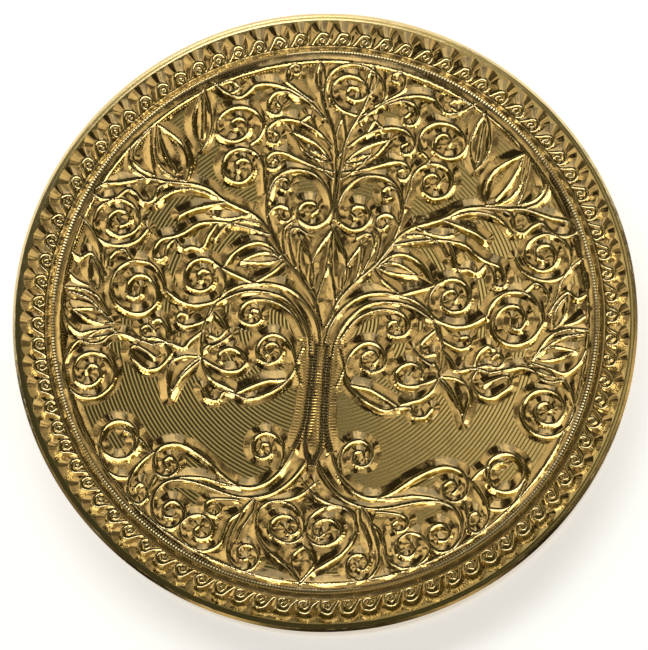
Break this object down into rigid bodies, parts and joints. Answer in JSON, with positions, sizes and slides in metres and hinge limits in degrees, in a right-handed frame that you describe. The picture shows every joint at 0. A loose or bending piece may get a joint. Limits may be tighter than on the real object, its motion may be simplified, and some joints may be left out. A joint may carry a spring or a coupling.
{
  "type": "transit token",
  "caption": "Round brass fare token with a tree and a wave border cut into its face, pressed together from a ring, a reeded collar and a core.",
  "frame": {"origin": "centre of the back face, on the token's axis", "axes": "+Z out of the engraved face, +Y up the tree, +X to the right as the face is read"},
  "size_m": [0.03, 0.03, 0.003],
  "materials": {
    "ring_brass": "turned and lightly polished brass, dark tarnish in the cut border",
    "collar_brass": "finely reeded brass with tarnish between the reeds",
    "core_brass": "turned brass with fine concentric lines, bright cut groove walls and dull tarnished groove floors"
  },
  "bodies": {
    "root": {"outer_ring": "ring_brass", "reeded_collar": "collar_brass", "core_disc": "core_brass"}
  },
  "joints": []
}
